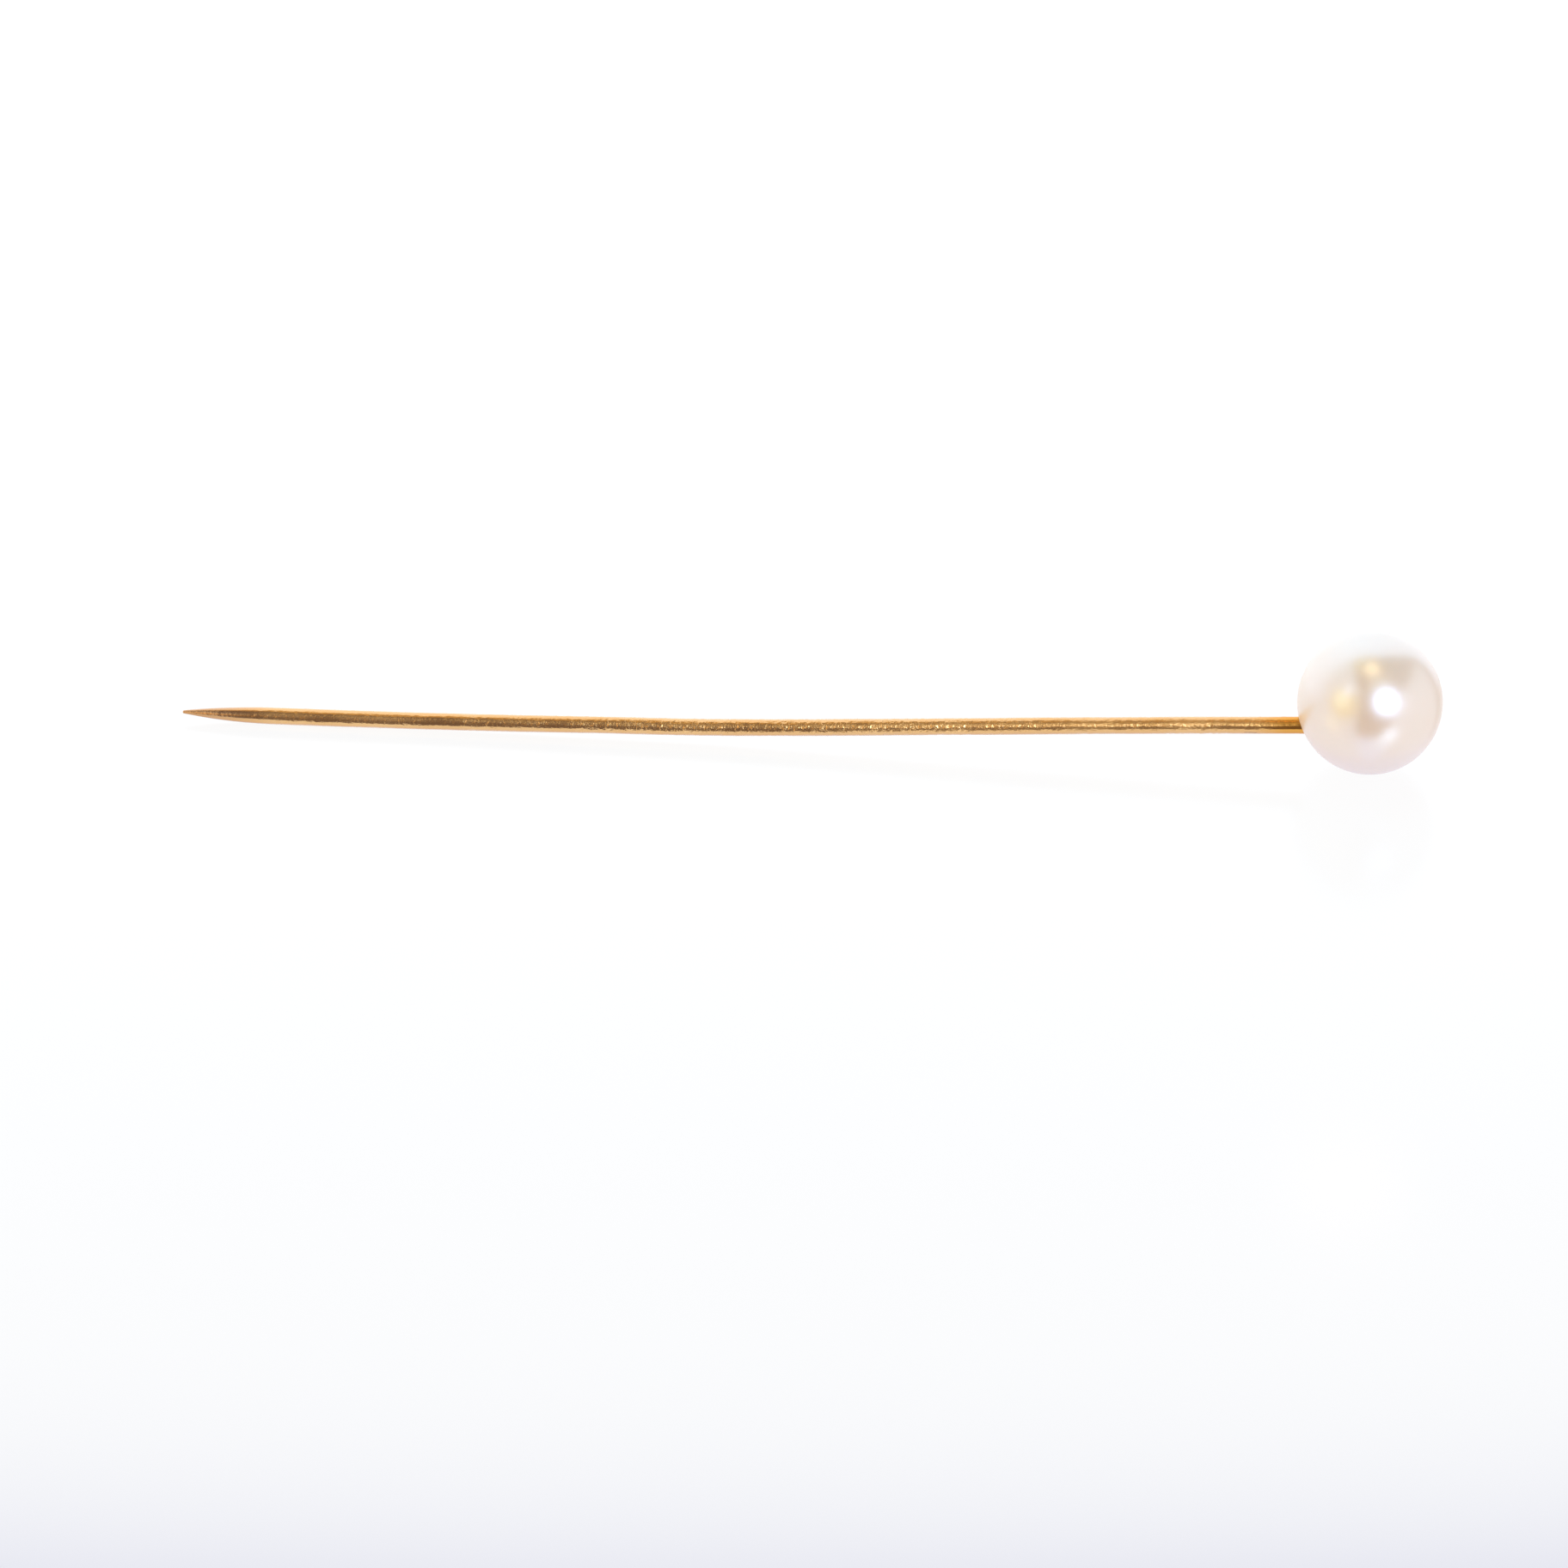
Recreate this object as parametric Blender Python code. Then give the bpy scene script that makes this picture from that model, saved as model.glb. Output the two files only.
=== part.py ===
"""Pearl-headed stick pin, lying at rest on a flat surface.

Units are metres and +Z is up. The pin lies along X with its point at -X and its pearl at +X. The
surface it lies on is z = 0: the pearl touches it at its lowest point and the wire just behind the
point. The wire is bowed in the XZ plane, and the hole in the pearl is drilled below its middle.

Lengths below are in millimetres. Distances along the pin are measured from the plane through the
pearl's centre, positive towards the point.
"""

import math

import bmesh
import bpy

MM = 0.001

# Overall
OVERALL_LENGTH = 66.0
PEARL_DIAMETER = 7.5
WIRE_DIAMETER = 0.91

# Pearl
NACRE_THICKNESS = 0.5
FIT_GAP = 0.02
PEARL_SEGMENTS = 56
PEARL_RINGS = 32

# Drill hole: blind, parallel to the wire where it enters
HOLE_DIAMETER = 0.95
HOLE_BELOW_CENTRE = 1.332
HOLE_BOTTOM = -1.6
DRILL_POINT_ANGLE = math.radians(118)
ENTRY_SLOPE = 0.0455

# End of the wire inside the pearl
LAND_END = 2.9
PEG_DIAMETER = 0.7
PEG_START = 2.8
PEG_END = -1.45
PEG_CHAMFER = 0.1
GROOVE_DEPTH = 0.08
GROOVE_FLOOR = 0.2
GROOVE_FLANK = 0.06
GROOVE_PLACES = (2.0, 1.1, 0.2, -0.7)

# Height of the wire's centre line over the surface, at distances along the pin. The wire keeps the
# entry slope as far as the first of these, and its underside touches the surface at 57 mm.
CENTRE_LINE = (
    (13.0, 1.826),
    (22.0, 1.360),
    (33.2, 0.825),
    (40.0, 0.675),
    (47.0, 0.533),
    (53.5, 0.468),
    (57.0, 0.456),
    (59.5, 0.450),
    (62.25, 0.490),
)
SHANK_STEP = 2.0

# Ground point
POINT_LENGTH = 4.9
POINT_BLUNTNESS = 0.17
NOSE_LENGTH = 0.05
POINT_STEPS = 14

# Cement round the peg
CEMENT_MOUTH = 2.74

AROUND = 28

PEARL_RADIUS = PEARL_DIAMETER / 2
WIRE_RADIUS = WIRE_DIAMETER / 2
PEG_RADIUS = PEG_DIAMETER / 2
HOLE_RADIUS = HOLE_DIAMETER / 2
BEAD_SPACE_RADIUS = PEARL_RADIUS - NACRE_THICKNESS
PEARL_X = OVERALL_LENGTH / 2 - PEARL_RADIUS
POINT_DISTANCE = OVERALL_LENGTH - PEARL_RADIUS
ENTRY_TILT = math.atan(ENTRY_SLOPE)
AXIS_HEIGHT = PEARL_RADIUS - HOLE_BELOW_CENTRE / math.cos(ENTRY_TILT)


def clear_scene():
    for obj in list(bpy.data.objects):
        bpy.data.objects.remove(obj, do_unlink=True)


def new_collection(name, hidden):
    collection = bpy.data.collections.new(name)
    bpy.context.scene.collection.children.link(collection)
    collection.hide_render = hidden
    return collection


def new_material(name, color, roughness, metallic):
    material = bpy.data.materials.new(name)
    material.use_nodes = True
    shader = material.node_tree.nodes["Principled BSDF"]
    shader.inputs["Base Color"].default_value = (*color, 1.0)
    shader.inputs["Roughness"].default_value = roughness
    shader.inputs["Metallic"].default_value = metallic
    material.diffuse_color = (*color, 1.0)
    return material


def new_object(name, mesh, collection, material):
    obj = bpy.data.objects.new(name, mesh)
    collection.objects.link(obj)
    if material:
        mesh.materials.append(material)
    for face in mesh.polygons:
        face.use_smooth = True
    mesh.set_sharp_from_angle(angle=math.radians(35))
    return obj


def sphere_mesh(name, radius):
    shape = bmesh.new()
    bmesh.ops.create_uvsphere(
        shape, u_segments=PEARL_SEGMENTS, v_segments=PEARL_RINGS, radius=radius * MM
    )
    mesh = bpy.data.meshes.new(name)
    shape.to_mesh(mesh)
    shape.free()
    return mesh


def round_mesh(name, stations):
    """A closed round body through stations of (x, z, slope, radius), in mm.

    Each ring stands square to the line of the body. A radius of 0 is a single point.
    """
    points = []
    rings = []
    for x, z, slope, radius in stations:
        lean = math.atan(slope)
        if radius == 0:
            rings.append([len(points)])
            points.append((x * MM, 0.0, z * MM))
            continue
        rings.append(list(range(len(points), len(points) + AROUND)))
        for i in range(AROUND):
            turn = 2 * math.pi * i / AROUND
            up = radius * math.cos(turn)
            side = radius * math.sin(turn)
            points.append(
                ((x - up * math.sin(lean)) * MM, side * MM, (z + up * math.cos(lean)) * MM)
            )
    faces = []
    for first, second in zip(rings, rings[1:]):
        for i in range(AROUND):
            j = (i + 1) % AROUND
            if len(first) == 1:
                faces.append((first[0], second[i], second[j]))
            elif len(second) == 1:
                faces.append((first[i], second[0], first[j]))
            else:
                faces.append((first[i], second[i], second[j], first[j]))
    mesh = bpy.data.meshes.new(name)
    mesh.from_pydata(points, [], faces)
    shape = bmesh.new()
    shape.from_mesh(mesh)
    bmesh.ops.recalc_face_normals(shape, faces=shape.faces)
    shape.to_mesh(mesh)
    shape.free()
    return mesh


def straight(profile):
    """Stations of a straight body along its own X axis, from (distance, radius) pairs."""
    return [(-distance, 0.0, 0.0, radius) for distance, radius in profile]


def grooved(radius, groove_radius):
    """(distance, radius) pairs of a grooved stretch, from the innermost groove outwards."""
    profile = []
    for place in sorted(GROOVE_PLACES):
        half = GROOVE_FLOOR / 2
        profile.append((place - half - GROOVE_FLANK, radius))
        profile.append((place - half, groove_radius))
        profile.append((place + half, groove_radius))
        profile.append((place + half + GROOVE_FLANK, radius))
    return profile


def line_height(distance):
    """Height and slope of the wire's centre line at a distance along the pin."""
    knots = [(0.0, AXIS_HEIGHT)] + list(CENTRE_LINE)
    slopes = [-ENTRY_SLOPE]
    for before, after in zip(knots, knots[2:]):
        slopes.append((after[1] - before[1]) / (after[0] - before[0]))
    slopes.append((knots[-1][1] - knots[-2][1]) / (knots[-1][0] - knots[-2][0]))
    if distance <= 0:
        return AXIS_HEIGHT - ENTRY_SLOPE * distance, -ENTRY_SLOPE
    i = 0
    while i < len(knots) - 2 and distance > knots[i + 1][0]:
        i += 1
    (x0, z0), (x1, z1) = knots[i], knots[i + 1]
    span = x1 - x0
    t = (distance - x0) / span
    height = (
        z0 * (2 * t**3 - 3 * t**2 + 1)
        + span * slopes[i] * (t**3 - 2 * t**2 + t)
        + z1 * (3 * t**2 - 2 * t**3)
        + span * slopes[i + 1] * (t**3 - t**2)
    )
    slope = (
        (z1 - z0) * (6 * t - 6 * t**2) / span
        + slopes[i] * (3 * t**2 - 4 * t + 1)
        + slopes[i + 1] * (3 * t**2 - 2 * t)
    )
    return height, slope


def point_radius(behind):
    """Radius of the ground point, at a distance behind its very end."""
    share = min(behind / POINT_LENGTH, 1.0)
    ogive = POINT_BLUNTNESS + (1 - POINT_BLUNTNESS) * (1 - (1 - share) ** 2)
    if behind < NOSE_LENGTH:
        ogive *= math.sqrt(1 - (1 - behind / NOSE_LENGTH) ** 2)
    return WIRE_RADIUS * ogive


def stem_profile():
    """(distance, radius) pairs from the wire's end inside the pearl to the very point."""
    profile = [
        (PEG_END, 0.0),
        (PEG_END, PEG_RADIUS - PEG_CHAMFER),
        (PEG_END + PEG_CHAMFER, PEG_RADIUS),
    ]
    profile += grooved(PEG_RADIUS, PEG_RADIUS - GROOVE_DEPTH)
    profile += [(PEG_START, PEG_RADIUS), (LAND_END, WIRE_RADIUS)]
    shank_end = POINT_DISTANCE - POINT_LENGTH
    steps = round((shank_end - LAND_END) / SHANK_STEP)
    for i in range(1, steps + 1):
        profile.append((LAND_END + (shank_end - LAND_END) * i / steps, WIRE_RADIUS))
    for i in range(1, POINT_STEPS + 1):
        behind = POINT_LENGTH * (1 - i / POINT_STEPS) ** 1.3
        behind = max(behind, NOSE_LENGTH)
        profile.append((POINT_DISTANCE - behind, point_radius(behind)))
    for share in (0.5, 0.2, 0.05):
        behind = NOSE_LENGTH * share
        profile.append((POINT_DISTANCE - behind, point_radius(behind)))
    profile.append((POINT_DISTANCE, 0.0))
    return profile


def cement_profile():
    """(distance, radius) pairs over the outside from the bottom to the mouth, then back inside."""
    outer = HOLE_RADIUS - FIT_GAP
    inner = PEG_RADIUS + FIT_GAP
    cone = outer / math.tan(DRILL_POINT_ANGLE / 2)
    bottom = HOLE_BOTTOM + FIT_GAP
    profile = [(bottom - cone, 0.0), (bottom, outer), (CEMENT_MOUTH, outer)]
    profile.append((CEMENT_MOUTH, inner))
    profile += reversed(grooved(inner, inner - GROOVE_DEPTH))
    profile.append((PEG_END - FIT_GAP, inner))
    profile.append((PEG_END - FIT_GAP, 0.0))
    return profile


def drill_profile():
    cone = HOLE_RADIUS / math.tan(DRILL_POINT_ANGLE / 2)
    return [
        (HOLE_BOTTOM - cone, 0.0),
        (HOLE_BOTTOM, HOLE_RADIUS),
        (PEARL_RADIUS + 1.0, HOLE_RADIUS),
        (PEARL_RADIUS + 1.0, 0.0),
    ]


def place_on_hole_axis(obj):
    """The origin goes to where the hole's axis meets the plane through the pearl's centre."""
    obj.location = (PEARL_X * MM, 0.0, AXIS_HEIGHT * MM)
    obj.rotation_euler = (0.0, -ENTRY_TILT, 0.0)


def place_on_pearl_centre(obj):
    obj.location = (PEARL_X * MM, 0.0, PEARL_RADIUS * MM)


def cut(obj, cutter):
    modifier = obj.modifiers.new(cutter.name, "BOOLEAN")
    modifier.operation = "DIFFERENCE"
    modifier.solver = "EXACT"
    modifier.object = cutter


def build_drill(cutters):
    drill = new_object("drill", round_mesh("drill", straight(drill_profile())), cutters, None)
    place_on_hole_axis(drill)
    drill.hide_render = True
    drill.display_type = "WIRE"
    return drill


def build_bead_space(cutters):
    space = new_object(
        "bead_space", sphere_mesh("bead_space", BEAD_SPACE_RADIUS), cutters, None
    )
    place_on_pearl_centre(space)
    space.hide_render = True
    space.display_type = "WIRE"
    return space


def build_stem(collection):
    gold = new_material("gold_wire", (0.72, 0.47, 0.21), 0.22, 1.0)
    stations = []
    for distance, radius in stem_profile():
        height, slope = line_height(distance)
        stations.append((-distance, height, -slope, radius))
    stem = new_object("pin_stem", round_mesh("pin_stem", stations), collection, gold)
    stem.location = (PEARL_X * MM, 0.0, 0.0)


def build_nacre(collection, bead_space, drill):
    nacre = new_material("nacre", (0.87, 0.80, 0.74), 0.2, 0.0)
    shell = new_object(
        "pearl_nacre", sphere_mesh("pearl_nacre", PEARL_RADIUS), collection, nacre
    )
    place_on_pearl_centre(shell)
    cut(shell, bead_space)
    cut(shell, drill)


def build_nucleus(collection, drill):
    shell_bead = new_material("shell_bead", (0.78, 0.72, 0.62), 0.45, 0.0)
    radius = BEAD_SPACE_RADIUS - FIT_GAP
    bead = new_object(
        "pearl_nucleus", sphere_mesh("pearl_nucleus", radius), collection, shell_bead
    )
    place_on_pearl_centre(bead)
    cut(bead, drill)


def build_cement(collection):
    cement = new_material("pearl_cement", (0.80, 0.74, 0.55), 0.5, 0.0)
    sleeve = new_object(
        "peg_cement", round_mesh("peg_cement", straight(cement_profile())), collection, cement
    )
    place_on_hole_axis(sleeve)


clear_scene()
pin = new_collection("pearl_stick_pin", hidden=False)
cutters = new_collection("cutters", hidden=True)
drill = build_drill(cutters)
bead_space = build_bead_space(cutters)
build_stem(pin)
build_nacre(pin, bead_space, drill)
build_nucleus(pin, drill)
build_cement(pin)
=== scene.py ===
import math

import bpy
import numpy as np
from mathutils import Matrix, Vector


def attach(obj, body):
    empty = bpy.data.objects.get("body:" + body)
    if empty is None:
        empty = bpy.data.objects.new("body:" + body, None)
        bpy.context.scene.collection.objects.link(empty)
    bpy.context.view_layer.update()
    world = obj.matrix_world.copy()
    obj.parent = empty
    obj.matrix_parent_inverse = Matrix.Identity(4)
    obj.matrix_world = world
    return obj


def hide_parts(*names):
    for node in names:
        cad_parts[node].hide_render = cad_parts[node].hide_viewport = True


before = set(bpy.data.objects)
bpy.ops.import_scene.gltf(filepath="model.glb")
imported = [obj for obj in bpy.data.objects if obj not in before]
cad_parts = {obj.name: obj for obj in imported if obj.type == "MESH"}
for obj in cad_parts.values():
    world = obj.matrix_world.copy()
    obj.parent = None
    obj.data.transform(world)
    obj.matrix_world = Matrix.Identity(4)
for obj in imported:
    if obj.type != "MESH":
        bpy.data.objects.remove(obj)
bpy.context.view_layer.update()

MM = 0.001

# ---- Pin dimensions, in millimetres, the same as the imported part's ----
OVERALL_LENGTH = 66.0
PEARL_RADIUS = 3.75
WIRE_RADIUS = 0.455
BEAD_SPACE_RADIUS = 3.25
HOLE_RADIUS = 0.475
HOLE_BELOW_CENTRE = 1.332
ENTRY_SLOPE = 0.0455
LAND_END = 2.9
PEG_RADIUS = 0.35
PEG_START = 2.8
PEG_END = -1.45
PEG_CHAMFER = 0.1
GROOVE_DEPTH = 0.08
GROOVE_FLOOR = 0.2
GROOVE_FLANK = 0.06
GROOVE_PLACES = (-0.7, 0.2, 1.1, 2.0)
# the wire's centre line: distance from the pearl's centre towards the point, and height
CENTRE_LINE = (
    (13.0, 1.826),
    (22.0, 1.360),
    (33.2, 0.825),
    (40.0, 0.675),
    (47.0, 0.533),
    (53.5, 0.468),
    (57.0, 0.456),
    (59.5, 0.450),
    (62.25, 0.490),
)
POINT_LENGTH = 4.9
POINT_BLUNTNESS = 0.17
NOSE_LENGTH = 0.05

PEARL_X = OVERALL_LENGTH / 2 - PEARL_RADIUS
POINT_DISTANCE = OVERALL_LENGTH - PEARL_RADIUS
ENTRY_TILT = math.atan(ENTRY_SLOPE)
AXIS_HEIGHT = PEARL_RADIUS - HOLE_BELOW_CENTRE / math.cos(ENTRY_TILT)

# ---- Fine meshes, lengths in millimetres ----
WIRE_AROUND = 56
WIRE_STEP = 0.036
WIRE_CLEAR_OF_LAND = 3.2
PEARL_AROUND = 160
PEARL_OUTER_RINGS = 120
PEARL_INNER_RINGS = 36
HOLE_WALL_SHARES = (0.08, 0.3, 0.6, 0.92)
SKIN_MARGIN = 0.008
SKIN_RELIEF = 0.0065
WEAR_DEPTH = 0.014
# each size of dent: its length along the wire, how many go round it, and its depth
DENTS = ((0.30, 9, 0.0050), (0.16, 13, 0.0065), (0.11, 20, 0.0040))
PATCH_LENGTH = 1.9
PATCHES_AROUND = 4
# how worn the wire is at some distances from the pearl's centre
WEAR_PLACES = (4.0, 7.0, 30.0, 42.0, 52.0)
WEAR_AMOUNTS = (0.55, 1.0, 0.9, 0.45, 0.35)
SCRAPES = 70
GRINDING_FLATS = 7

# ---- Places on the wire where its finish changes, X or Z in metres in the part's frame ----
# from JOINT_FROM to JOINT_FULL the finish changes, and the colour takes painted shade and painted
# orange reflection of the pearl
JOINT_FROM, JOINT_FULL = 0.0228, 0.0252
POINT_FROM, POINT_FULL = -0.0275, -0.0320
POLISHED_TO, DULL_FROM = -0.010, 0.016
HANDLED_FROM, HANDLED_FULL = -0.032, 0.004
WAVED_FROM, WAVED_MOST, WAVED_TO = -0.030, -0.004, 0.020
# middle of a short near-black line of painted shade low on the front of the wire, standing for a
# scratch that the mesh has no groove for
SHADE_LINE_X, SHADE_LINE_Z = 0.02319, 0.001925

# ---- Camera ----
CAMERA_LENS = 120.0
CAMERA_SENSOR = 36.0
CAMERA_ELEVATION = math.radians(29.0)
CAMERA_AZIMUTH = math.radians(4.647)
CAMERA_AIM = (-1.13, 0.0, -2.44)
CAMERA_DISTANCE = 275.3


# ---------------------------------------------------------------- node helpers

def new_material(name):
    material = bpy.data.materials.new(name)
    material.use_nodes = True
    nodes = material.node_tree.nodes
    return material, material.node_tree, nodes["Principled BSDF"]


def node(tree, kind, inputs=None, **settings):
    made = tree.nodes.new(kind)
    for key, value in settings.items():
        setattr(made, key, value)
    for key, value in (inputs or {}).items():
        if isinstance(value, bpy.types.NodeSocket):
            tree.links.new(value, made.inputs[key])
        else:
            made.inputs[key].default_value = value
    return made


def math_node(tree, operation, *values):
    made = tree.nodes.new("ShaderNodeMath")
    made.operation = operation
    for i, value in enumerate(values):
        if isinstance(value, bpy.types.NodeSocket):
            tree.links.new(value, made.inputs[i])
        else:
            made.inputs[i].default_value = value
    return made.outputs[0]


def mix_color(tree, factor, first, second):
    made = tree.nodes.new("ShaderNodeMix")
    made.data_type = "RGBA"
    for index, value in ((0, factor), (6, first), (7, second)):
        if isinstance(value, bpy.types.NodeSocket):
            tree.links.new(value, made.inputs[index])
        elif index == 0:
            made.inputs[index].default_value = value
        else:
            made.inputs[index].default_value = (*value, 1.0)
    return made.outputs[2]


def remap(tree, value, low, high, to_low=0.0, to_high=1.0, smooth=True):
    made = tree.nodes.new("ShaderNodeMapRange")
    made.interpolation_type = "SMOOTHSTEP" if smooth else "LINEAR"
    tree.links.new(value, made.inputs["Value"])
    made.inputs["From Min"].default_value = low
    made.inputs["From Max"].default_value = high
    made.inputs["To Min"].default_value = to_low
    made.inputs["To Max"].default_value = to_high
    return made.outputs["Result"]


def noise(tree, vector, scale, detail, rough, stretch=(1, 1, 1)):
    if stretch != (1, 1, 1):
        mapping = node(tree, "ShaderNodeMapping", {"Vector": vector, "Scale": stretch})
        vector = mapping.outputs["Vector"]
    made = node(
        tree,
        "ShaderNodeTexNoise",
        {
            "Vector": vector,
            "Scale": scale,
            "Detail": detail,
            "Roughness": rough,
        },
    )
    return made.outputs["Fac"]


# ---------------------------------------------------------------- shapes

def line_height(distance):
    """Height and slope of the wire's centre line, at an array of distances along the pin."""
    knots = np.array([(0.0, AXIS_HEIGHT)] + list(CENTRE_LINE))
    x, z = knots[:, 0], knots[:, 1]
    slopes = np.empty(len(x))
    slopes[0] = -ENTRY_SLOPE
    slopes[1:-1] = (z[2:] - z[:-2]) / (x[2:] - x[:-2])
    slopes[-1] = (z[-1] - z[-2]) / (x[-1] - x[-2])
    i = np.clip(np.searchsorted(x, distance, side="right") - 1, 0, len(x) - 2)
    span = x[i + 1] - x[i]
    t = (distance - x[i]) / span
    height = (
        z[i] * (2 * t**3 - 3 * t**2 + 1)
        + span * slopes[i] * (t**3 - 2 * t**2 + t)
        + z[i + 1] * (3 * t**2 - 2 * t**3)
        + span * slopes[i + 1] * (t**3 - t**2)
    )
    slope = (
        (z[i + 1] - z[i]) * (6 * t - 6 * t**2) / span
        + slopes[i] * (3 * t**2 - 4 * t + 1)
        + slopes[i + 1] * (3 * t**2 - 2 * t)
    )
    inside = distance <= 0
    height = np.where(inside, AXIS_HEIGHT - ENTRY_SLOPE * distance, height)
    slope = np.where(inside, -ENTRY_SLOPE, slope)
    return height, slope


def point_radius(behind):
    share = np.minimum(behind / POINT_LENGTH, 1.0)
    ogive = POINT_BLUNTNESS + (1 - POINT_BLUNTNESS) * (1 - (1 - share) ** 2)
    nose = np.clip(behind / NOSE_LENGTH, 0, 1)
    return WIRE_RADIUS * ogive * np.sqrt(1 - (1 - nose) ** 2)


def lattice_noise(rng, u, v, cell_u, cell_v, rows, turns):
    """Smooth random relief from -1 to 1 over (u, v), v wrapping round after `turns` cells."""
    grid = rng.uniform(-1, 1, (rows + 2, turns))
    a = u / cell_u
    b = v / cell_v
    i = np.clip(np.floor(a).astype(int), 0, rows)
    j = np.floor(b).astype(int)
    s = a - i
    t = b - j
    s = s * s * (3 - 2 * s)
    t = t * t * (3 - 2 * t)
    j0 = j % turns
    j1 = (j + 1) % turns
    low = grid[i, j0] * (1 - t) + grid[i, j1] * t
    high = grid[i + 1, j0] * (1 - t) + grid[i + 1, j1] * t
    return low * (1 - s) + high * s


def mesh_object(name, points, faces, material, sharp_angle):
    mesh = bpy.data.meshes.new(name)
    mesh.from_pydata((np.asarray(points) * MM).tolist(), [], faces)
    mesh.update()
    mesh.materials.append(material)
    mesh.polygons.foreach_set("use_smooth", np.ones(len(mesh.polygons), bool))
    mesh.set_sharp_from_angle(angle=sharp_angle)
    obj = bpy.data.objects.new(name, mesh)
    bpy.context.scene.collection.objects.link(obj)
    return obj


def closed_faces(rings, around):
    """Quads between rings of points, and a fan at each end to the two points after the rings."""
    faces = []
    for k in range(rings - 1):
        a = k * around
        b = a + around
        for i in range(around):
            j = (i + 1) % around
            faces.append((a + i, a + j, b + j, b + i))
    first_end, last_end = rings * around, rings * around + 1
    last = (rings - 1) * around
    for i in range(around):
        j = (i + 1) % around
        faces.append((first_end, j, i))
        faces.append((last + i, last + j, last_end))
    return faces


def wire_stations():
    """Distances and plain radii of the wire's rings, from its end inside the pearl outwards."""
    inner = [(PEG_END, PEG_RADIUS - PEG_CHAMFER), (PEG_END + PEG_CHAMFER, PEG_RADIUS)]
    half = GROOVE_FLOOR / 2
    for place in GROOVE_PLACES:
        inner += [
            (place - half - GROOVE_FLANK, PEG_RADIUS),
            (place - half, PEG_RADIUS - GROOVE_DEPTH),
            (place + half, PEG_RADIUS - GROOVE_DEPTH),
            (place + half + GROOVE_FLANK, PEG_RADIUS),
        ]
    inner += [(PEG_START, PEG_RADIUS), (LAND_END, WIRE_RADIUS)]
    inner = np.array(inner)
    last = POINT_DISTANCE - NOSE_LENGTH
    count = int(round((last - WIRE_CLEAR_OF_LAND) / WIRE_STEP))
    shank = np.linspace(WIRE_CLEAR_OF_LAND, last, count)
    nose = POINT_DISTANCE - NOSE_LENGTH * np.array([0.75, 0.5, 0.3, 0.15, 0.05])
    outer = np.concatenate([shank, nose])
    distance = np.concatenate([inner[:, 0], outer])
    radius = np.concatenate([inner[:, 1], point_radius(POINT_DISTANCE - outer)])
    return distance, radius


def dents(rng, distance, angle):
    """How deep the handled wire is dented, in mm: more in some stretches than in others."""
    along = distance - distance.min()
    length = along.max()
    turn = angle / (2 * math.pi)
    relief = np.zeros_like(along)
    for cell, count, depth in DENTS:
        rows = int(length / cell) + 2
        relief += depth * lattice_noise(rng, along, turn * count, cell, 1.0, rows, count)
    rows = int(length / PATCH_LENGTH) + 2
    patches = lattice_noise(
        rng, along, turn * PATCHES_AROUND, PATCH_LENGTH, 1.0, rows, PATCHES_AROUND
    )
    worn = np.clip(0.6 + 0.9 * patches, 0.15, 1.2) * np.interp(distance, WEAR_PLACES, WEAR_AMOUNTS)
    return (WEAR_DEPTH + relief) * worn


def scrapes(rng, distance, angle):
    """How deep the long scrapes along the wire are, in mm."""
    sink = np.zeros_like(distance)
    for _ in range(SCRAPES):
        centre = rng.uniform(4.0, POINT_DISTANCE - 1.0)
        turn = rng.uniform(0, 2 * math.pi)
        run = rng.uniform(0.25, 1.6)
        lean = rng.uniform(-0.12, 0.12)
        width = rng.uniform(0.05, 0.1)
        depth = rng.uniform(0.003, 0.008)
        off = (angle - turn - lean * (distance - centre) + math.pi) % (2 * math.pi) - math.pi
        across = np.exp(-((off / width) ** 2))
        sink += depth * across * np.exp(-(((distance - centre) / run) ** 4))
    return sink


def grinding(behind, angle, radius):
    """How deep the flats that the stone left along the ground point are, in mm."""
    ground = np.clip(1.0 - behind / (POINT_LENGTH * 1.15), 0.0, 1.0) ** 0.5
    phase = angle * GRINDING_FLATS + 0.5 * np.sin(angle * 2)
    return ground * radius * 0.02 * (1 + np.cos(phase))


def build_wire(material):
    """The wire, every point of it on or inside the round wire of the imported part."""
    distance, radius = wire_stations()
    height, slope = line_height(distance)
    around = np.arange(WIRE_AROUND) * 2 * math.pi / WIRE_AROUND
    grid_d, grid_a = np.meshgrid(distance, around, indexing="ij")
    grid_r = np.repeat(radius[:, None], WIRE_AROUND, axis=1)
    rng = np.random.default_rng(11)
    behind = POINT_DISTANCE - grid_d
    # no wear inside the pearl, and little at the very point
    exposed = np.clip(behind / 3.0, 0.05, 1.0) * np.clip((grid_d - WIRE_CLEAR_OF_LAND) / 0.4, 0.0, 1.0)
    sink = dents(rng, grid_d, grid_a) * exposed
    sink += scrapes(rng, grid_d, grid_a) * exposed
    sink += grinding(behind, grid_a, grid_r)
    r = grid_r - np.clip(sink, 0.0, grid_r * 0.3)
    lean = np.arctan(-slope)[:, None]
    up = r * np.cos(grid_a)
    x = -grid_d - up * np.sin(lean) + PEARL_X
    y = r * np.sin(grid_a)
    z = height[:, None] + up * np.cos(lean)
    end_z, _ = line_height(np.array([PEG_END, POINT_DISTANCE]))
    ends = [
        (PEARL_X - PEG_END, 0.0, end_z[0]),
        (PEARL_X - POINT_DISTANCE, 0.0, end_z[1]),
    ]
    points = np.concatenate([np.stack([x, y, z], axis=2).reshape(-1, 3), ends])
    faces = closed_faces(len(distance), WIRE_AROUND)
    return mesh_object("wire_fine", points, faces, material, math.radians(50))


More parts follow.
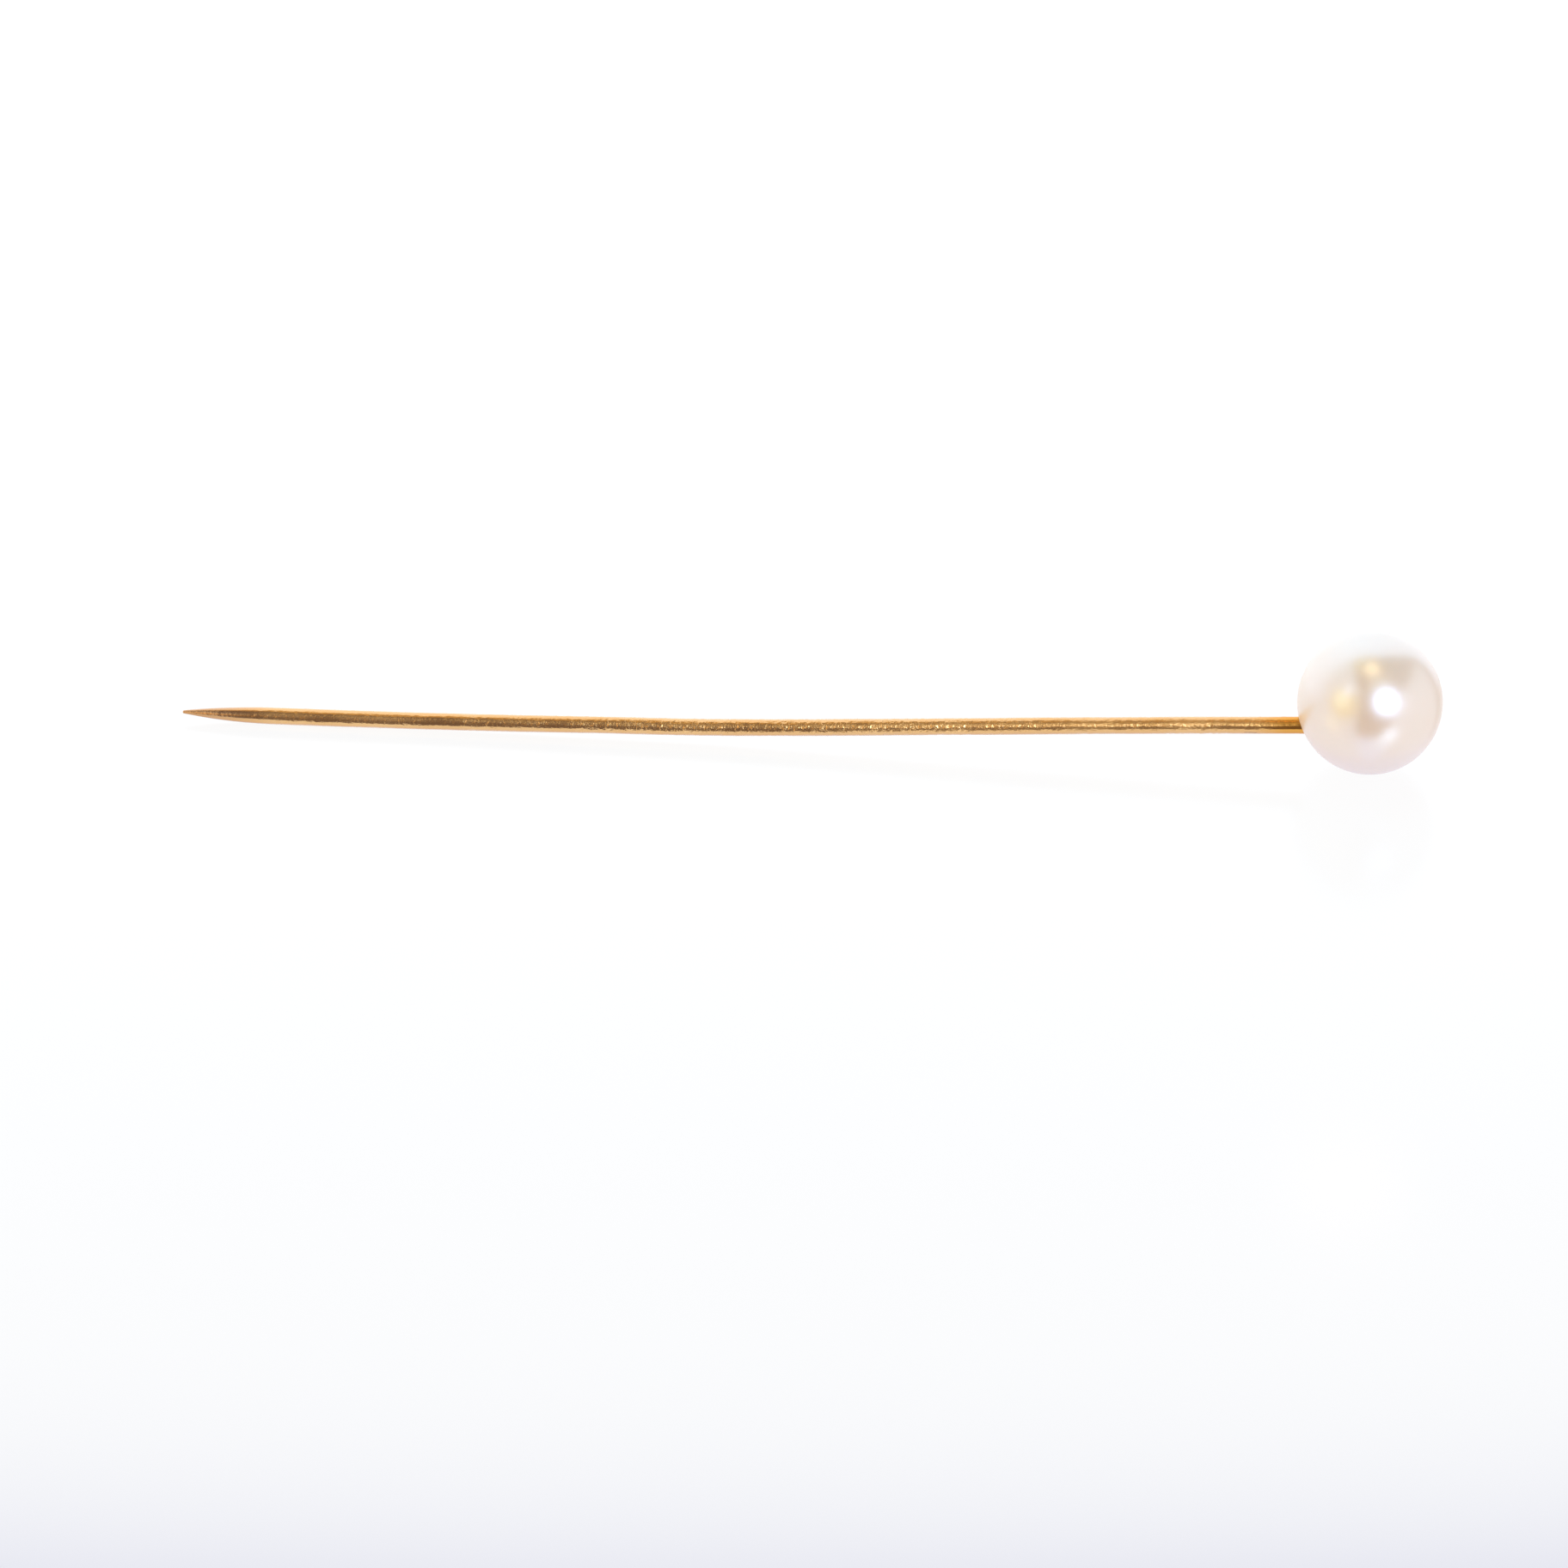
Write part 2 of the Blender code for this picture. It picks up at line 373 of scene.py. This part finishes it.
def hole_mouth(radius, around):
    """Points of the hole's mouth in a sphere, in hole axes: out along the hole, sideways, up."""
    side = HOLE_RADIUS * np.sin(around)
    up = -HOLE_BELOW_CENTRE + HOLE_RADIUS * np.cos(around)
    out = np.sqrt(radius**2 - side**2 - up**2)
    return np.stack([out, side, up], axis=1)


def sphere_rings(radius, rim, rings, ease):
    """Rings of points from the hole's mouth over the sphere, and its far pole, in hole axes."""
    pole = rim.mean(axis=0)
    pole /= np.linalg.norm(pole)
    unit = rim / radius
    cosine = np.clip(unit @ pole, -1, 1)
    start = np.arccos(cosine)
    side = unit - cosine[:, None] * pole
    side /= np.linalg.norm(side, axis=1)[:, None]
    first = side[0]
    other = np.cross(pole, first)
    turn = np.unwrap(np.arctan2(side @ other, side @ first))
    direction = 1.0 if turn[-1] > turn[0] else -1.0
    # away from the mouth the points spread evenly round the pole
    regular = turn[0] + direction * np.arange(len(rim)) * 2 * math.pi / len(rim)
    out = []
    for k in range(rings):
        share = (k / rings) ** ease
        theta = start + (math.pi - start) * share
        blend = min(1.0, share * 4)
        phi = turn * (1 - blend) + regular * blend
        ring = (
            np.cos(theta)[:, None] * pole
            + np.sin(theta)[:, None]
            * (np.cos(phi)[:, None] * first + np.sin(phi)[:, None] * other)
        )
        out.append(ring * radius)
    return out, -pole * radius


def skin_relief(points):
    """Slow undulation of the nacre, from -1 to 1: a sum of fixed waves over the pearl."""
    rng = np.random.default_rng(5)
    unit = points / np.linalg.norm(points, axis=1)[:, None]
    relief = np.zeros(len(points))
    for _ in range(26):
        axis = rng.normal(size=3)
        axis /= np.linalg.norm(axis)
        waves = rng.uniform(3.0, 11.0)
        phase = rng.uniform(0, 2 * math.pi)
        relief += np.sin(unit @ axis * waves + phase) * rng.uniform(0.3, 1.0) / waves
    relief /= np.abs(relief).max()
    return relief


def build_nacre(material):
    around = np.arange(PEARL_AROUND) * 2 * math.pi / PEARL_AROUND
    skin = PEARL_RADIUS - SKIN_MARGIN
    outer_rim = hole_mouth(skin, around)
    inner_rim = hole_mouth(BEAD_SPACE_RADIUS, around)
    outer, outer_pole = sphere_rings(skin, outer_rim, PEARL_OUTER_RINGS, 1.15)
    inner, inner_pole = sphere_rings(BEAD_SPACE_RADIUS, inner_rim, PEARL_INNER_RINGS, 1.0)
    wall = [outer_rim + (inner_rim - outer_rim) * share for share in HOLE_WALL_SHARES]
    rings = list(reversed(outer)) + wall + inner
    points = np.concatenate(rings)
    count = len(outer) * PEARL_AROUND
    relief = skin_relief(points[:count])
    away = np.linalg.norm(points[:count] - outer_rim.mean(axis=0), axis=1)
    fade = np.clip((away - 0.5) / 0.6, 0.0, 1.0)
    length = np.linalg.norm(points[:count], axis=1)[:, None]
    points[:count] *= 1 + (relief * fade * SKIN_RELIEF)[:, None] / length
    points = np.concatenate([points, [outer_pole, inner_pole]])
    faces = closed_faces(len(rings), PEARL_AROUND)
    # hole axes to world: out along the hole is -X, tilted down by the entry slope
    c, s = math.cos(ENTRY_TILT), math.sin(ENTRY_TILT)
    world = np.stack(
        [
            -points[:, 0] * c - points[:, 2] * s + PEARL_X,
            points[:, 1],
            -points[:, 0] * s + points[:, 2] * c + PEARL_RADIUS,
        ],
        axis=1,
    )
    return mesh_object("nacre_skin", world, faces, material, math.radians(40))


# ---------------------------------------------------------------- materials

def gold_shade_line(tree, place):
    """1 on the short painted shade line low on the front of the wire, standing for a scratch, 0
    elsewhere.
    """
    run = math_node(tree, "ABSOLUTE", math_node(tree, "SUBTRACT", place["X"], SHADE_LINE_X))
    rise = math_node(tree, "ABSOLUTE", math_node(tree, "SUBTRACT", place["Z"], SHADE_LINE_Z))
    long_enough = remap(tree, run, 0.00036, 0.00027)
    low_enough = remap(tree, rise, 0.000026, 0.000010)
    in_front = remap(tree, place["Y"], 0.0, -0.0002)
    return math_node(tree, "MULTIPLY", math_node(tree, "MULTIPLY", long_enough, low_enough), in_front)


def gold_tint(tree, place, patches, specks, joint):
    """The metal's colour: darker and oranger by the pearl as painted shade and painted reflection of
    it, browner at the point, and near-black along a painted shade line that stands for a scratch.
    """
    tint = mix_color(
        tree, remap(tree, patches, 0.35, 0.68), (0.68, 0.37, 0.108), (0.71, 0.405, 0.132)
    )
    tint = mix_color(tree, remap(tree, specks, 0.62, 0.80, 0.0, 0.4), tint, (0.55, 0.27, 0.08))
    # painted shade and painted reflection of the pearl: the wire darker and oranger next to it
    tint = mix_color(tree, math_node(tree, "MULTIPLY", joint, 0.75), tint, (0.66, 0.29, 0.035))
    point = remap(tree, place["X"], POINT_FROM, POINT_FULL, 0.0, 0.65)
    tint = mix_color(tree, point, tint, (0.42, 0.21, 0.085))
    # painted shade: a near-black line where a scratch would be
    return mix_color(tree, gold_shade_line(tree, place), tint, (0.10, 0.035, 0.015))


def gold_bump(tree, where, place, patches, specks, joint):
    """Fine specks, lines and ripples, strongest where the wire has been handled most."""
    lines = noise(tree, where, 12000.0, 2.0, 0.6, (0.08, 1, 1))
    ripples = noise(tree, where, 4200.0, 2.0, 0.6, (1.0, 0.6, 0.6))
    waved = math_node(
        tree,
        "ADD",
        remap(tree, place["X"], WAVED_FROM, WAVED_MOST, 0.8, 2.0),
        remap(tree, place["X"], WAVED_MOST, WAVED_TO, 0.0, -1.0),
    )
    height = math_node(tree, "ADD", math_node(tree, "MULTIPLY", lines, 0.35), specks)
    height = math_node(tree, "ADD", height, math_node(tree, "MULTIPLY", ripples, waved))
    handled = remap(tree, place["X"], HANDLED_FROM, HANDLED_FULL, 0.45, 0.85)
    handled = math_node(tree, "SUBTRACT", handled, math_node(tree, "MULTIPLY", joint, 0.8))
    worked = math_node(tree, "MULTIPLY", remap(tree, patches, 0.32, 0.52, 0.4, 1.0), handled)
    bump = node(
        tree, "ShaderNodeBump", {"Strength": worked, "Distance": 0.000034, "Height": height}
    )
    return bump.outputs["Normal"]


def gold_material():
    """Handled gold wire: metal that reflects in lines across the wire, under a dull film."""
    material, tree, shader = new_material("gold_worn")
    where = node(tree, "ShaderNodeTexCoord").outputs["Object"]
    place = node(tree, "ShaderNodeSeparateXYZ", {0: where}).outputs
    patches = noise(tree, where, 420.0, 3.0, 0.55)
    specks = noise(tree, where, 7500.0, 2.0, 0.5, (0.45, 1.0, 1.0))
    joint = remap(tree, place["X"], JOINT_FROM, JOINT_FULL)
    tint = gold_tint(tree, place, patches, specks, joint)
    tree.links.new(tint, shader.inputs["Base Color"])
    shader.inputs["Metallic"].default_value = 1.0
    wear = remap(tree, patches, 0.3, 0.7, 0.26, 0.32)
    wear = math_node(tree, "ADD", wear, remap(tree, place["X"], POLISHED_TO, DULL_FROM, -0.13, 0.0))
    wear = math_node(tree, "SUBTRACT", wear, math_node(tree, "MULTIPLY", joint, 0.12))
    tree.links.new(wear, shader.inputs["Roughness"])
    film = math_node(tree, "SUBTRACT", 1.0, math_node(tree, "MULTIPLY", joint, 0.9))
    tree.links.new(film, shader.inputs["Coat Weight"])
    shader.inputs["Coat Roughness"].default_value = 0.22
    shader.inputs["Coat IOR"].default_value = 1.6
    bump = gold_bump(tree, where, place, patches, specks, joint)
    tree.links.new(bump, shader.inputs["Normal"])
    tree.links.new(bump, shader.inputs["Coat Normal"])
    shader.inputs["Anisotropic"].default_value = 0.75
    shader.inputs["Anisotropic Rotation"].default_value = 0.25
    grain = node(tree, "ShaderNodeTangent", direction_type="RADIAL", axis="X")
    tree.links.new(grain.outputs["Tangent"], shader.inputs["Tangent"])
    return material


def nacre_material():
    """Pearl: a strong, blue-tinted mirror gloss over a cream body with a little depth."""
    material, tree, shader = new_material("nacre_lustre")
    where = node(tree, "ShaderNodeTexCoord").outputs["Object"]
    clouds = noise(tree, where, 260.0, 2.0, 0.5)
    rose = noise(tree, where, 150.0, 1.0, 0.4)
    body = mix_color(tree, remap(tree, clouds, 0.3, 0.7), (0.80, 0.59, 0.40), (0.82, 0.62, 0.44))
    tint = mix_color(tree, remap(tree, rose, 0.4, 0.65, 0.0, 0.5), body, (0.82, 0.60, 0.46))
    tree.links.new(tint, shader.inputs["Base Color"])
    fine = noise(tree, where, 2600.0, 3.0, 0.6)
    gloss = remap(tree, clouds, 0.3, 0.7, 0.28, 0.32)
    tree.links.new(gloss, shader.inputs["Roughness"])
    shader.inputs["IOR"].default_value = 3.7
    shader.inputs["Specular Tint"].default_value = (0.60, 0.79, 1.0, 1.0)
    shader.inputs["Coat Weight"].default_value = 0.5
    shader.inputs["Coat Roughness"].default_value = 0.45
    shader.inputs["Coat IOR"].default_value = 1.6
    shader.inputs["Subsurface Weight"].default_value = 0.25
    shader.inputs["Subsurface Radius"].default_value = (1.0, 0.75, 0.55)
    shader.inputs["Subsurface Scale"].default_value = 0.0006
    bump = node(tree, "ShaderNodeBump", {"Strength": 0.15, "Distance": 0.000004, "Height": fine})
    tree.links.new(bump.outputs["Normal"], shader.inputs["Normal"])
    return material


def bead_material():
    """Shell cut across its layers."""
    material, tree, shader = new_material("shell_layers")
    where = node(tree, "ShaderNodeTexCoord").outputs["Object"]
    tilt = node(tree, "ShaderNodeMapping", {"Vector": where, "Rotation": (0.5, 0.3, 0.2)})
    layers = noise(tree, tilt.outputs["Vector"], 900.0, 3.0, 0.5, (0.06, 0.06, 1))
    tone = mix_color(tree, remap(tree, layers, 0.35, 0.65), (0.70, 0.60, 0.47), (0.84, 0.79, 0.70))
    tree.links.new(tone, shader.inputs["Base Color"])
    tree.links.new(remap(tree, layers, 0.3, 0.7, 0.32, 0.5), shader.inputs["Roughness"])
    bump = node(tree, "ShaderNodeBump", {"Strength": 0.2, "Distance": 0.00001, "Height": layers})
    tree.links.new(bump.outputs["Normal"], shader.inputs["Normal"])
    return material


def cement_material():
    """Cured pearl cement, slightly grainy."""
    material, tree, shader = new_material("cement_cured")
    where = node(tree, "ShaderNodeTexCoord").outputs["Object"]
    grains = noise(tree, where, 6000.0, 4.0, 0.6)
    tone = mix_color(tree, remap(tree, grains, 0.35, 0.7), (0.78, 0.71, 0.50), (0.86, 0.81, 0.65))
    tree.links.new(tone, shader.inputs["Base Color"])
    tree.links.new(remap(tree, grains, 0.3, 0.7, 0.35, 0.6), shader.inputs["Roughness"])
    shader.inputs["Subsurface Weight"].default_value = 0.2
    shader.inputs["Subsurface Scale"].default_value = 0.0002
    bump = node(tree, "ShaderNodeBump", {"Strength": 0.3, "Distance": 0.00001, "Height": grains})
    tree.links.new(bump.outputs["Normal"], shader.inputs["Normal"])
    return material


# ---------------------------------------------------------------- studio

# The tones of the room round the pin, which the camera does not see.
ROOM = (0.22, 0.18, 0.19)
CEILING = (0.80, 0.60, 0.30)
BACKDROP = (1.42, 1.43, 1.52)
LEFT_BOARD = (1.13, 1.13, 1.14)
RIGHT_BOARD = (1.06, 1.02, 1.02)
TABLE = (1.12, 1.21, 1.44)
SEEN_BY_CAMERA = (0.985, 0.985, 0.987)
# Each board is the part of the room inside all of its planes, each given by its inward normal
# and by how softly it ends. Later boards cover earlier ones.
BOARDS = (
    (
        CEILING,
        ((-1.0, 0.0, 0.12, 0.10), (0.0, 0.985, 0.174, 0.18), (0.0, -0.8, 0.6, 0.1)),
    ),
    (RIGHT_BOARD, ((0.573, 0.0, -0.819, 0.05), (0.823, 0.568, 0.0, 0.05))),
    (LEFT_BOARD, ((-0.906, 0.0, -0.423, 0.05), (-0.925, 0.379, 0.0, 0.05))),
    (
        BACKDROP,
        ((0.0, 0.965, -0.262, 0.12), (-0.665, 0.747, 0.0, 0.05), (0.0, 0.3, 1.0, 0.05)),
    ),
)
# the table is all that lies below, but for its open front from the left board to the right one
TABLE_PLANES = ((0.0, 0.0, -1.0, 0.05),)
TABLE_FRONT = (
    (0.0, -0.5, 0.866, 0.10),
    (0.925, -0.379, 0.0, 0.05),
    (-0.823, -0.568, 0.0, 0.05),
    (0.0, -1.0, 0.0, 0.05),
)
# the gap between the backdrop and the right board
GAP_PLANE = (-0.685, 0.729, 0.0)
GAP_ENDS = ((1.0, 0.0, 0.0, 0.05), (0.707, 0.0, -0.707, 0.15))
# Each glow has a direction, the angles in degrees where it is full and where it has gone, and
# a tone.
GLOWS = (
    ((0.1, 0.35, -0.93), 20, 48, (1.0, 1.02, 1.2)),
    ((0.56, 0.12, 0.82), 8, 24, (0.22, 0.25, 0.32)),
    ((0.20, -0.55, 0.81), 6, 24, (0.85, 0.78, 0.60)),
    ((-0.68, -0.66, 0.28), 12, 30, (1.4, 0.98, 0.42)),
    ((-0.733, -0.577, 0.361), 6, 16, (2.5, 2.0, 1.1)),
    ((-0.59, -0.53, 0.61), 2, 10, (2.3, 2.3, 2.4)),
    ((0.41, -0.78, 0.47), 15, 27, (0.8, 0.9, 1.0)),
    ((-0.827, -0.466, -0.317), 4, 15, (1.75, 1.5, 1.15)),
    ((0.50, -0.76, -0.41), 4, 14, (2.4, 2.5, 2.6)),
    ((0.38, -0.75, -0.54), 5, 13, (2.6, 2.7, 2.8)),
    ((0.29, -0.71, -0.64), 3, 12, (1.5, 1.6, 1.7)),
)
MAIN_LAMP = (0.41, -0.79, 0.455)
# Each lamp has a direction from the pearl, a radiance, an angular radius in degrees, a colour,
# what it lights, and its distance in metres.
LAMPS = {
    "main_lamp": (MAIN_LAMP, 6.3, 14.8, (0.85, 0.97, 1.3), "glossy", 0.3),
    "main_lamp_rim": (MAIN_LAMP, 1.2, 20.5, (1.0, 1.0, 1.0), "glossy", 0.3),
    "warm_above": ((0.0, -0.23, 0.97), 2.5, 10.0, (1.0, 0.62, 0.30), "glossy", 0.0204),
    "top_fill": ((-0.2, 0.55, 0.8), 2.2, 30.0, (0.25, 0.75, 1.0), "diffuse", 0.6),
    "front_fill": ((0.2, -0.9, 0.35), 0.95, 30.0, (1.0, 0.98, 0.97), "diffuse", 0.6),
    "right_fill": ((0.9, -0.1, 0.3), 1.1, 30.0, (0.9, 0.97, 1.0), "diffuse", 0.6),
}

FLOOR_HALF_SIDE = 6.0
# painted shade: the floor's glow darkens towards the camera between these distances, in metres
SHADE_FROM, SHADE_FULL = 0.042, 0.0728
FLOOR_FAR, FLOOR_NEAR, FLOOR_PAINTED_SHADE = (1.0, 1.0, 1.0), (0.96, 0.96, 0.966), (0.74, 0.74, 0.83)


def build_world():
    world = bpy.data.worlds.new("studio")
    bpy.context.scene.world = world
    world.use_nodes = True
    tree = world.node_tree
    tree.nodes.clear()
    where = node(tree, "ShaderNodeTexCoord").outputs["Generated"]

    def along(direction):
        unit = Vector(direction).normalized()
        return node(
            tree, "ShaderNodeVectorMath", {0: where, 1: unit}, operation="DOT_PRODUCT"
        ).outputs["Value"]

    def patch(direction, full, gone):
        return remap(
            tree, along(direction), math.cos(math.radians(gone)), math.cos(math.radians(full))
        )

    def inside(planes):
        share = None
        for *normal, soft in planes:
            side = remap(tree, along(normal), -soft, soft)
            share = side if share is None else math_node(tree, "MULTIPLY", share, side)
        return share

    opened = math_node(tree, "SUBTRACT", 1.0, inside(TABLE_FRONT))
    table = math_node(tree, "MULTIPLY", inside(TABLE_PLANES), opened)
    color = mix_color(tree, table, ROOM, TABLE)
    for tone, planes in BOARDS:
        color = mix_color(tree, inside(planes), color, tone)
    across = math_node(tree, "ABSOLUTE", along(GAP_PLANE))
    gap = math_node(tree, "MULTIPLY", remap(tree, across, 0.13, 0.05), inside(GAP_ENDS))
    color = mix_color(tree, math_node(tree, "MULTIPLY", gap, 0.9), color, ROOM)
    for direction, full, gone, glow in GLOWS:
        color = mix_color(tree, patch(direction, full, gone), color, glow)
    seen = node(tree, "ShaderNodeLightPath").outputs["Is Camera Ray"]
    color = mix_color(tree, seen, color, SEEN_BY_CAMERA)
    background = node(tree, "ShaderNodeBackground", {"Color": color, "Strength": 1.0})
    out = tree.nodes.new("ShaderNodeOutputWorld")
    tree.links.new(background.outputs[0], out.inputs["Surface"])


def disc_lamp(name, direction, radiance, angular_radius, color, lights, distance):
    """A round lamp facing the pearl, which lights only glossy or only diffuse surfaces."""
    radius = distance * math.tan(math.radians(angular_radius))
    light = bpy.data.lights.new(name, "AREA")
    light.shape = "DISK"
    light.size = 2 * radius
    light.energy = radiance * math.pi * math.pi * radius**2
    light.color = color
    lamp = bpy.data.objects.new(name, light)
    bpy.context.scene.collection.objects.link(lamp)
    unit = Vector(direction).normalized()
    target = Vector((PEARL_X * MM, 0.0, PEARL_RADIUS * MM))
    lamp.location = target + unit * distance
    lamp.rotation_euler = unit.to_track_quat("Z", "Y").to_euler()
    lamp.visible_camera = False
    lamp.visible_glossy = lights == "glossy"
    lamp.visible_diffuse = lights == "diffuse"
    lamp.visible_transmission = False


def floor_material():
    """White that glows evenly, with painted shade that darkens it a little towards the camera."""
    material, tree, shader = new_material("floor_white")
    where = node(tree, "ShaderNodeTexCoord").outputs["Object"]
    place = node(tree, "ShaderNodeSeparateXYZ", {0: where}).outputs
    toward = math_node(
        tree,
        "SUBTRACT",
        math_node(tree, "MULTIPLY", place["X"], math.sin(CAMERA_AZIMUTH)),
        math_node(tree, "MULTIPLY", place["Y"], math.cos(CAMERA_AZIMUTH)),
    )
    side = math_node(tree, "MULTIPLY", place["X"], 0.35)
    squares = math_node(
        tree,
        "ADD",
        math_node(tree, "MULTIPLY", side, side),
        math_node(tree, "MULTIPLY", toward, toward),
    )
    reach = math_node(tree, "SQRT", squares)
    ahead = remap(tree, toward, 0.0, 0.03, smooth=False)
    near = remap(tree, reach, SHADE_FROM, SHADE_FULL, smooth=False)
    painted_shade = math_node(tree, "MULTIPLY", math_node(tree, "POWER", near, 4.2), ahead)
    even = remap(tree, toward, -0.03, 0.05, smooth=False)
    # painted shade: the glow falls a little towards the camera, and more near it
    glow = mix_color(tree, even, FLOOR_FAR, FLOOR_NEAR)
    glow = mix_color(tree, painted_shade, glow, FLOOR_PAINTED_SHADE)
    tree.links.new(glow, shader.inputs["Emission Color"])
    shader.inputs["Emission Strength"].default_value = 0.93
    shader.inputs["Base Color"].default_value = (0.03, 0.03, 0.03, 1.0)
    shader.inputs["Roughness"].default_value = 0.2
    shader.inputs["Specular IOR Level"].default_value = 0.15
    return material


def build_floor():
    """A floor that only the camera sees, so that the studio below it lights the pin."""
    half = FLOOR_HALF_SIDE
    mesh = bpy.data.meshes.new("floor")
    corners = [(-half, -half, 0), (half, -half, 0), (half, half, 0), (-half, half, 0)]
    mesh.from_pydata(corners, [], [(0, 1, 2, 3)])
    mesh.materials.append(floor_material())
    floor = bpy.data.objects.new("floor", mesh)
    bpy.context.scene.collection.objects.link(floor)
    floor.visible_glossy = False
    floor.visible_diffuse = False
    floor.visible_transmission = False
    floor.visible_shadow = False


def build_camera():
    data = bpy.data.cameras.new("camera")
    data.lens = CAMERA_LENS
    data.sensor_width = CAMERA_SENSOR
    data.clip_start = 0.01
    data.clip_end = 20.0
    camera = bpy.data.objects.new("camera", data)
    bpy.context.scene.collection.objects.link(camera)
    back = Vector(
        (
            math.sin(CAMERA_AZIMUTH) * math.cos(CAMERA_ELEVATION),
            -math.cos(CAMERA_AZIMUTH) * math.cos(CAMERA_ELEVATION),
            math.sin(CAMERA_ELEVATION),
        )
    )
    camera.location = (Vector(CAMERA_AIM) + back * CAMERA_DISTANCE) * MM
    camera.rotation_euler = back.to_track_quat("Z", "Y").to_euler()
    bpy.context.scene.camera = camera


# ---------------------------------------------------------------- assembly

def give_material(name, material):
    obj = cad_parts[name]
    for slot in obj.material_slots:
        slot.material = material
    if not obj.material_slots:
        obj.data.materials.append(material)


wire = build_wire(gold_material())
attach(wire, "root")
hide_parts("pin_stem")

skin = build_nacre(nacre_material())
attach(skin, "root")
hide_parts("pearl_nacre")

give_material("pearl_nucleus", bead_material())
give_material("peg_cement", cement_material())

build_world()
for lamp_name, lamp in LAMPS.items():
    disc_lamp(lamp_name, *lamp)
build_floor()
build_camera()
bpy.context.scene.view_settings.view_transform = "Standard"
bpy.context.scene.view_settings.look = "None"
